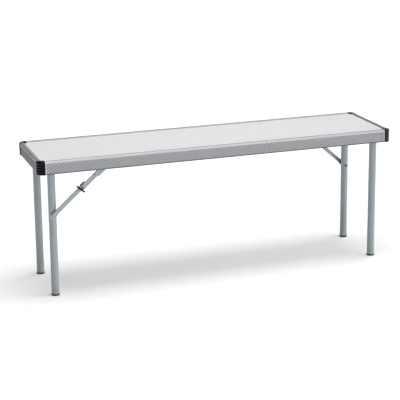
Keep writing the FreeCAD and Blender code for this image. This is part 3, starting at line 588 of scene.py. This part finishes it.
def buildScrews():
    heads = []
    for corner in corners:
        low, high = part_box(corner + "_hinge_block")
        across = (low[1] + high[1]) / 2
        under = high[2] - blockScrews["flange"]
        for end, x in (("A", low[0] + blockScrews["fromEnd"]), ("B", high[0] - blockScrews["fromEnd"])):
            heads.append((corner + "_block_screw" + end, (x, across, under), blockScrews))
    for side, sideY in stays.items():
        low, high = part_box(side + "_stay_bracket")
        under = high[2] - bracketScrews["flange"]
        across = faceOf(side + "_stay_bracket", -sideY) + sideY * bracketScrews["inFromFace"]
        for end, share in bracketScrews["shares"].items():
            x = low[0] + (high[0] - low[0]) * share
            heads.append((side + "_bracket_screw" + end, (x, across, under), bracketScrews))
    for number, (name, place, shape) in enumerate(heads):
        vertices, faces = screwMesh(shape["radius"], shape["height"])
        spin = firstSpin + nextSpin * number
        addPiece(name, moved(vertices, place, (0, 0, -1), spin), faces, "screw", "bench")
    print("screws:", len(heads))


# Flat pads at the feet of the lower arms, wider than the arm and lying over the leg; only a hair of
# their thickness stands out, because the hanger passes just in front when folded
armPad = {"beyond": 0.0125, "along": 0.016, "half": 0.0078, "corner": 0.0045, "proud": 0.0002,
          "sunk": 0.0018, "narrowing": 0.17, "bevel": 0.0004}

# Rivet heads, each turned about Y; the lap rivet's reach is along the upper arm from the bracket pin
rivetShapes = {
    "knuckle": {"radius": 0.004, "height": 0.0014, "shank": 0.0025},
    "foot": {"radius": 0.0042, "height": 0.0016},
    "lap": {"radius": 0.0024, "height": 0.0007, "reach": 0.0492, "lift": 0.0042},
}


def domeProfile(shape, base=0.0):
    # a low dome with a small upright rim
    rim = 0.2  # share of the height
    steps = 7
    radius = shape["radius"]
    height = shape["height"]
    profile = [(radius, base), (radius, base + height * rim)]
    for i in range(1, steps + 1):
        turn = math.radians(90 * i / steps)
        profile.append((radius * math.cos(turn), base + height * (rim + (1 - rim) * math.sin(turn))))
    return profile


def buildRivets():
    for side, sideY in stays.items():
        # knuckle: a dome on each side of the two arms, joined by the shank
        node = side + "_knuckle_rivet"
        knuckle = middleOf(node)
        shape = rivetShapes["knuckle"]
        half = sizeOf(node).y / 2 - shape["height"]
        upper = domeProfile(shape, half)
        lower = [(radius, -level) for radius, level in reversed(upper)]
        shank = [(shape["shank"], -half), (shape["shank"], half)]
        vertices, faces = lathe(lower + shank + upper, steps=32)
        piece = addPiece(pieceName(side, "KnuckleRivet"), moved(vertices, knuckle, (0, 1, 0)), faces,
                         "darkZinc", side + "_lower_stay")
        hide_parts(node)
        # foot: a dome over the pad of the lower arm
        foot = middleOf(side + "_stay_foot_rivet")
        outer = faceOf(side + "_stay_foot_rivet", sideY) + sideY * armPad["proud"]
        vertices, faces = lathe(domeProfile(rivetShapes["foot"]), steps=32)
        addPiece(pieceName(side, "FootDome"), moved(vertices, (foot.x, outer, foot.z), (0, sideY, 0)), faces,
                 "stayPaint", side + "_lower_stay")
        # lap: a rivet on the upper arm beside the hanger's square end
        hinge = middleOf(side + "_bracket_pin")
        along, upward = armDirections(hinge, knuckle)
        shape = rivetShapes["lap"]
        place = Vector((hinge.x, faceOf(side + "_stay_hanger", sideY), hinge.z))
        place += along * shape["reach"] + upward * shape["lift"]
        vertices, faces = lathe(domeProfile(shape), steps=24)
        addPiece(pieceName(side, "LapRivet"), moved(vertices, place, (0, sideY, 0)), faces, "darkZinc",
                 side + "_upper_stay")
    print("rivets on", len(stays), "stays")


# Six-sided head with a washer on the leg's inner side, in place of the plain bolt
boltShape = {"headThick": 0.0035, "crown": 0.0036, "head": 0.0043, "headSlope": 0.0005,
             "washerThick": 0.0009, "washerFace": 0.0042, "washer": 0.0045, "washerSlope": 0.0002,
             "shank": 0.003}


def buildBolts():
    shape = boltShape
    for side, sideY in stays.items():
        node = side + "_stay_bolt"
        top = sizeOf(node).y / 2
        seat = top - shape["headThick"]
        washerTop = seat + shape["washerThick"]
        head = lathe([(0.0, top), (shape["crown"], top), (shape["head"], top - shape["headSlope"]),
                      (shape["head"], washerTop), (0.0, washerTop)], steps=6)
        rest = lathe([(0.0, washerTop), (shape["washerFace"], washerTop),
                      (shape["washer"], washerTop - shape["washerSlope"]), (shape["washer"], seat),
                      (shape["shank"], seat), (shape["shank"], -top), (0.0, -top)], steps=32)
        vertices, faces = joined([head, rest])
        piece = addPiece(pieceName(side, "StayBolt"), moved(vertices, middleOf(node), (0, -sideY, 0)), faces,
                         "darkZinc", side + "_legs", sharp=30)
        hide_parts(node)
    print("stay bolts:", len(stays))


# Lock rings: flat rings with rounded edges, as dipped plastic has. Above and below are square to the arm,
# near and far across it from the inner face, and the ring leans by some degrees.
ringShape = {"thick": 0.005, "above": 0.0159, "below": 0.0165, "near": 0.0017, "far": 0.0098,
             "windowTop": 0.0091, "windowBottom": 0.0092, "windowNear": 0.0003, "windowFar": 0.0084,
             "soft": 0.0009, "outerCorner": 0.0034, "innerCorner": 0.0012, "cornerSteps": 6,
             "lean": 8.0, "setBack": 0.00655}


def ringSection():
    # (share of the way from the outer loop to the window, depth) round the ring's section
    half = ringShape["thick"] / 2
    soft = ringShape["soft"]
    little = soft * 0.3
    return [(0.0, -half + soft), (0.03, -half + little), (0.11, -half), (0.89, -half),
            (0.97, -half + little), (1.0, -half + soft), (1.0, half - soft), (0.97, half - little),
            (0.89, half), (0.11, half), (0.03, half - little), (0.0, half - soft)]


def buildRings():
    shape = ringShape
    steps = shape["cornerSteps"]
    outer = roundedLoop((-shape["far"], -shape["below"]), (shape["near"], shape["above"]),
                        shape["outerCorner"], steps)
    window = roundedLoop((-shape["windowFar"], -shape["windowBottom"]),
                         (shape["windowNear"], shape["windowTop"]), shape["innerCorner"], steps)
    section = ringSection()
    points = []
    for blend, depth in section:
        for (outX, outZ), (inX, inZ) in zip(outer, window):
            points.append(Vector((depth, outX + (inX - outX) * blend, outZ + (inZ - outZ) * blend)))
    faces = bandFaces(len(section), len(outer), closed=True)
    lean = math.radians(shape["lean"])
    for side, sideY in stays.items():
        node = side + "_lock_ring"
        knuckle = middleOf(side + "_knuckle_rivet")
        along, upward = armDirections(middleOf(side + "_stay_bolt"), knuckle)
        level = faceOf(node, -sideY) + sideY * shape["near"]
        origin = Vector((knuckle.x, level, knuckle.z)) - along * shape["setBack"]
        across = Vector((0, -sideY, 0))
        tilted = along * math.cos(lean) + upward * math.sin(lean)
        rising = upward * math.cos(lean) - along * math.sin(lean)
        vertices = [origin + tilted * point.x + across * point.y + rising * point.z for point in points]
        piece = addPiece(pieceName(side, "LockRing"), vertices, faces, "red", side + "_ring",
                         sharp=50)
        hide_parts(node)
    print("lock rings:", len(stays))


# A thin dark plate on the lower arm's head, seen above the upper arm beside the ring: painted shade, as the
# head lies in shade there
paintedShadePlate = {"start": -0.0008, "end": 0.0175, "low": -0.005, "high": 0.0105, "thick": 0.00018,
              "corner": 0.0012}


def buildPaintedShadePlates():
    plate = paintedShadePlate
    loop = roundedLoop((plate["start"], plate["low"]), (plate["end"], plate["high"]), plate["corner"], 4)
    for side, sideY in stays.items():
        knuckle = middleOf(side + "_knuckle_rivet")
        along, upward = armDirections(middleOf(side + "_stay_bolt"), knuckle)
        face = faceOf(side + "_stay_foot_rivet", sideY)
        vertices = []
        for level in (face, face + sideY * plate["thick"]):
            vertices += [Vector((knuckle.x, level, knuckle.z)) + along * x + upward * z for x, z in loop]
        # the dark plate is painted shade on the face of the lower arm's head
        addPiece(pieceName(side, "PaintedShadePlate"), vertices, cappedFaces(2, len(loop)), "darkZinc",
                 side + "_lower_stay")


def buildArmPads():
    pad = armPad
    loop = roundedLoop((-pad["beyond"], -pad["half"]), (pad["along"], pad["half"]), pad["corner"], 6)
    levels = ((-pad["sunk"], 0.0), (pad["proud"] - pad["bevel"], 0.0), (pad["proud"], pad["bevel"]))
    for side, sideY in stays.items():
        foot = middleOf(side + "_stay_foot_rivet")
        along, upward = armDirections(foot, middleOf(side + "_knuckle_rivet"))
        face = faceOf(side + "_stay_foot_rivet", sideY)
        vertices = []
        for level, inset in levels:
            inward = 1 - inset / pad["half"]
            for x, z in loop:
                narrow = 1.0 - pad["narrowing"] * max(0.0, x / pad["along"])
                spot = along * (x * inward) + upward * (z * narrow * inward)
                vertices.append(Vector((foot.x, face + sideY * level, foot.z)) + spot)
        addPiece(pieceName(side, "ArmPad"), vertices, cappedFaces(len(levels), len(loop)), "stayPaint",
                 side + "_lower_stay", sharp=40)
    print("painted shade plates and arm pads:", 2 * len(stays))


# Weld beads where the hinge tube goes through each leg
beadShape = {"radius": 0.0011, "steps": 96, "sides": 8, "ripple": 0.00022, "ripples": 30, "rough": 0.35,
             "legRadius": 0.0125, "tubeRadius": 0.008, "legY": 0.11}


def beadAlong(path, face, seed):
    # a half-sunk ripple bead round a closed path of (point, outward) on one face of the leg
    sides = beadShape["sides"]
    along = Vector((0, face, 0))
    vertices = []
    for i, (point, outward) in enumerate(path):
        wave = math.sin(2 * math.pi * beadShape["ripples"] * i / len(path))
        rough = smoothNoise(Vector((i * beadShape["rough"], seed, 0.0)))
        radius = beadShape["radius"] + beadShape["ripple"] * (0.5 * wave + rough)
        for k in range(sides):
            turn = 2 * math.pi * k / sides
            vertices.append(point + outward * radius * math.cos(turn) + along * radius * math.sin(turn))
    return vertices, bandFaces(len(path), sides, closed=True)


def buildBeads():
    steps = beadShape["steps"]
    for side in stays:
        axis = middleOf(side + "_hinge_tube")
        parts = []
        for sideY in (-1, 1):
            for face in (-1, 1):
                path = []
                for i in range(steps):
                    turn = 2 * math.pi * i / steps
                    x = beadShape["tubeRadius"] * math.cos(turn)
                    z = beadShape["tubeRadius"] * math.sin(turn)
                    y = sideY * beadShape["legY"] + face * math.sqrt(beadShape["legRadius"] ** 2 - x ** 2)
                    path.append((Vector((axis.x + x, y, axis.z + z)), Vector((x, 0, z)).normalized()))
                seed = sideY * 7.3 + face * 3.1  # each bead has its own roughness
                parts.append(beadAlong(path, face, seed))
        vertices, faces = joined(parts)
        addPiece(pieceName(side, "WeldBeads"), vertices, faces, "weld", side + "_legs",
                 sharp=60)


# Black plugs in the open tops of the legs: (radius, height) pairs
plugProfile = [(0.0108, -0.006), (0.0108, 0.0), (0.0122, 0.0), (0.0124, 0.0006), (0.0118, 0.0013),
               (0.009, 0.0019), (0.0, 0.0021)]


def buildLegPlugs():
    for corner, (sideX, sideY) in corners.items():
        centre = middleOf(corner + "_leg")
        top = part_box(corner + "_leg")[1][2]
        vertices, faces = lathe(plugProfile, steps=40)
        addPiece(pieceName(corner, "LegPlug"), moved(vertices, (centre.x, centre.y, top)), faces, "block",
                 legsOf(sideX))
    print("weld beads and leg plugs are in")


# Dark joint strip round the white panel, notched at the caps
panelSeal = {"width": 0.0012, "above": 0.00025, "below": 0.0006, "gap": 0.0002}


def notchedLoop(halfX, halfY, shortX, shortY):
    quarter = [(halfX, shortY), (shortX, shortY), (shortX, halfY)]
    points = quarter + [(-x, y) for x, y in reversed(quarter)]
    return points + [(-x, -y) for x, y in points]


def buildPanelSeal():
    low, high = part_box("top_laminate")
    capLow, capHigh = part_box("front_left_corner_cap")
    shortX = -capHigh[0]
    shortY = -capHigh[1]
    wide = panelSeal["width"]
    halfX = high[0] + panelSeal["gap"]
    halfY = high[1] + panelSeal["gap"]
    outer = notchedLoop(halfX, halfY, shortX, shortY)
    inner = notchedLoop(halfX - wide, halfY - wide, shortX - wide, shortY - wide)
    top = high[2] + panelSeal["above"]
    bottom = high[2] - panelSeal["below"]
    vertices = []
    for loop, level in ((outer, bottom), (outer, top), (inner, top), (inner, bottom)):
        vertices += [Vector((x, y, level)) for x, y in loop]
    addPiece("PanelSeal", vertices, bandFaces(4, len(outer), closed=True), "seal", "bench",
             sharp=30)
    print("panel seal is in")


softenEdges()
buildCaps()
buildFeet()
buildScrews()
buildRivets()
buildBolts()
buildRings()
buildPaintedShadePlates()
buildArmPads()
buildBeads()
buildLegPlugs()
buildPanelSeal()


# Floor, light and camera

# The floor: its glow is the white of the room, shown to the camera and in the metal, stronger away
# from the bench
floorLook = {"size": 30.0, "colour": 0.93, "roughness": 0.9,
             "glow": {"From Min": 0.7, "From Max": 3.5, "To Min": 0.31, "To Max": 0.9}}


def addRamp(tree, value, facts, smooth=False):
    # a Map Range node set from a dictionary of its sockets
    ramp = tree.nodes.new("ShaderNodeMapRange")
    if smooth:
        ramp.interpolation_type = "SMOOTHSTEP"
    for label, number in facts.items():
        ramp.inputs[label].default_value = number
    tree.links.new(value, ramp.inputs["Value"])
    return ramp.outputs["Result"]


def buildFloor():
    mesh = bpy.data.meshes.new("Floor")
    half = floorLook["size"] / 2
    points = [(-half, -half, 0), (half, -half, 0), (half, half, 0), (-half, half, 0)]
    mesh.from_pydata(points, [], [(0, 1, 2, 3)])
    floor = bpy.data.objects.new("Floor", mesh)
    bpy.context.collection.objects.link(floor)
    material, tree, shader = newMaterial("FloorWhite")
    shade = floorLook["colour"]
    shader.inputs["Base Color"].default_value = (shade, shade, shade, 1)
    shader.inputs["Roughness"].default_value = floorLook["roughness"]
    shader.inputs["Emission Color"].default_value = (1, 1, 1, 1)
    path = tree.nodes.new("ShaderNodeLightPath")
    seen = addMath(tree, "MAXIMUM", path.outputs["Is Camera Ray"], path.outputs["Is Glossy Ray"])
    seen = addMath(tree, "MAXIMUM", seen, path.outputs["Is Transmission Ray"])
    place = tree.nodes.new("ShaderNodeTexCoord")
    away = tree.nodes.new("ShaderNodeVectorMath")
    away.operation = "LENGTH"
    tree.links.new(place.outputs["Object"], away.inputs[0])
    glow = addRamp(tree, away.outputs["Value"], floorLook["glow"])
    tree.links.new(addMath(tree, "MULTIPLY", seen, glow), shader.inputs["Emission Strength"])
    mesh.materials.append(material)


# How the room's light changes along each axis: brighter to the right, dimmer behind and above
roomShares = {
    "X": {"From Min": -0.1, "From Max": 0.95, "To Min": 0.0, "To Max": 2.3},
    "Y": {"From Min": 0.1, "From Max": 0.75, "To Min": 1.0, "To Max": 0.22},
    "Z": {"From Min": 0.3, "From Max": 0.9, "To Min": 1.0, "To Max": 0.5},
}
lamps = {
    "OverheadLight": {"place": (0.05, 0.0, 3.2), "aim": (0.05, 0.0, 0.0), "size": (2.7, 1.6), "power": 67},
    "KeyLight": {"place": (-0.1, -3.7, 1.9), "aim": (0, 0, 0.3), "size": (3.0, 3.0), "power": 23},
}


def buildWorld():
    # a pale room, white to the camera on every side
    world = bpy.data.worlds.new("Studio")
    bpy.context.scene.world = world
    world.use_nodes = True
    tree = world.node_tree
    background = tree.nodes["Background"]
    place = tree.nodes.new("ShaderNodeTexCoord")
    parts = tree.nodes.new("ShaderNodeSeparateXYZ")
    tree.links.new(place.outputs["Generated"], parts.inputs["Vector"])
    shares = [addRamp(tree, parts.outputs[axis], facts, smooth=True) for axis, facts in roomShares.items()]
    strength = addMath(tree, "MULTIPLY", addMath(tree, "MULTIPLY", shares[0], shares[1]), shares[2])
    path = tree.nodes.new("ShaderNodeLightPath")
    strength = addMath(tree, "MAXIMUM", strength, path.outputs["Is Camera Ray"])
    background.inputs["Color"].default_value = (1, 1, 1, 1)
    tree.links.new(strength, background.inputs["Strength"])


def buildLamps():
    # one wide lamp overhead and one in front
    for name, facts in lamps.items():
        light = bpy.data.lights.new(name, "AREA")
        light.shape = "RECTANGLE"
        light.size, light.size_y = facts["size"]
        light.energy = facts["power"]
        lamp = bpy.data.objects.new(name, light)
        lamp.location = facts["place"]
        aim = Vector(facts["aim"]) - lamp.location
        lamp.rotation_euler = aim.to_track_quat("-Z", "Y").to_euler()
        bpy.context.collection.objects.link(lamp)


# The photograph's point of view: angles in degrees, lens and shift in pixels of a 400 pixel picture
photoView = {"place": (-1.39986, -3.99641, 1.47363), "azimuth": -18.98, "elevation": 14.23, "roll": -0.62,
             "focalPixels": 1311.77, "imagePixels": 400, "shiftPixels": -50}


def buildCamera():
    azimuth = math.radians(photoView["azimuth"])
    elevation = math.radians(photoView["elevation"])
    right = Vector((math.cos(azimuth), math.sin(azimuth), 0))
    back = Vector((math.sin(azimuth) * math.cos(elevation), -math.cos(azimuth) * math.cos(elevation),
                   math.sin(elevation)))
    up = back.cross(right)
    turn = Matrix((right, up, back)).transposed() @ Matrix.Rotation(math.radians(photoView["roll"]), 3, "Z")
    data = bpy.data.cameras.new("PhotoCamera")
    data.sensor_width = 36.0
    data.lens = data.sensor_width * photoView["focalPixels"] / photoView["imagePixels"]
    data.shift_y = photoView["shiftPixels"] / photoView["imagePixels"]
    camera = bpy.data.objects.new("PhotoCamera", data)
    camera.matrix_world = Matrix.Translation(photoView["place"]) @ turn.to_4x4()
    bpy.context.collection.objects.link(camera)
    bpy.context.scene.camera = camera


buildFloor()
buildWorld()
buildLamps()
buildCamera()
bpy.context.scene.view_settings.view_transform = "Standard"
print("floor, lights and camera are set")
